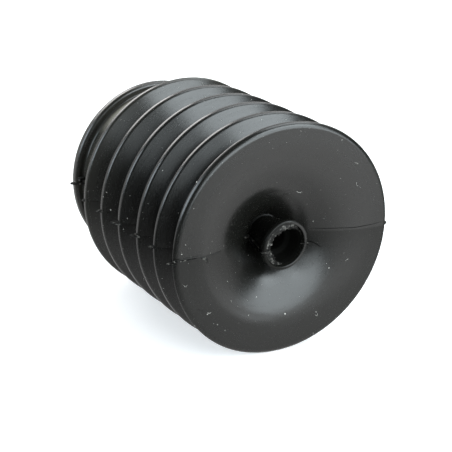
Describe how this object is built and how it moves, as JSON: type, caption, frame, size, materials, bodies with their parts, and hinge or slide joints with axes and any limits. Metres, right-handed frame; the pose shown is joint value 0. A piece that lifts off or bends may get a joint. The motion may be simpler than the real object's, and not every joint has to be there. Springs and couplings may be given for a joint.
{
  "type": "bellows boot",
  "caption": "Black moulded rubber bellows boot with sharp folds, a dished front plate with a short lipped neck, and a beaded clamp collar at the open back end.",
  "frame": {"origin": "centre of the collar's end face, on the axis of the boot", "axes": "+Z along the axis from the collar to the neck, +X along the mould's parting plane, +Y square to it"},
  "size_m": [0.08, 0.08, 0.0899],
  "materials": {
    "rubber": "matte black, as moulded, slightly dusty"
  },
  "bodies": {
    "root": {"bellows_boot": "rubber"}
  },
  "joints": []
}
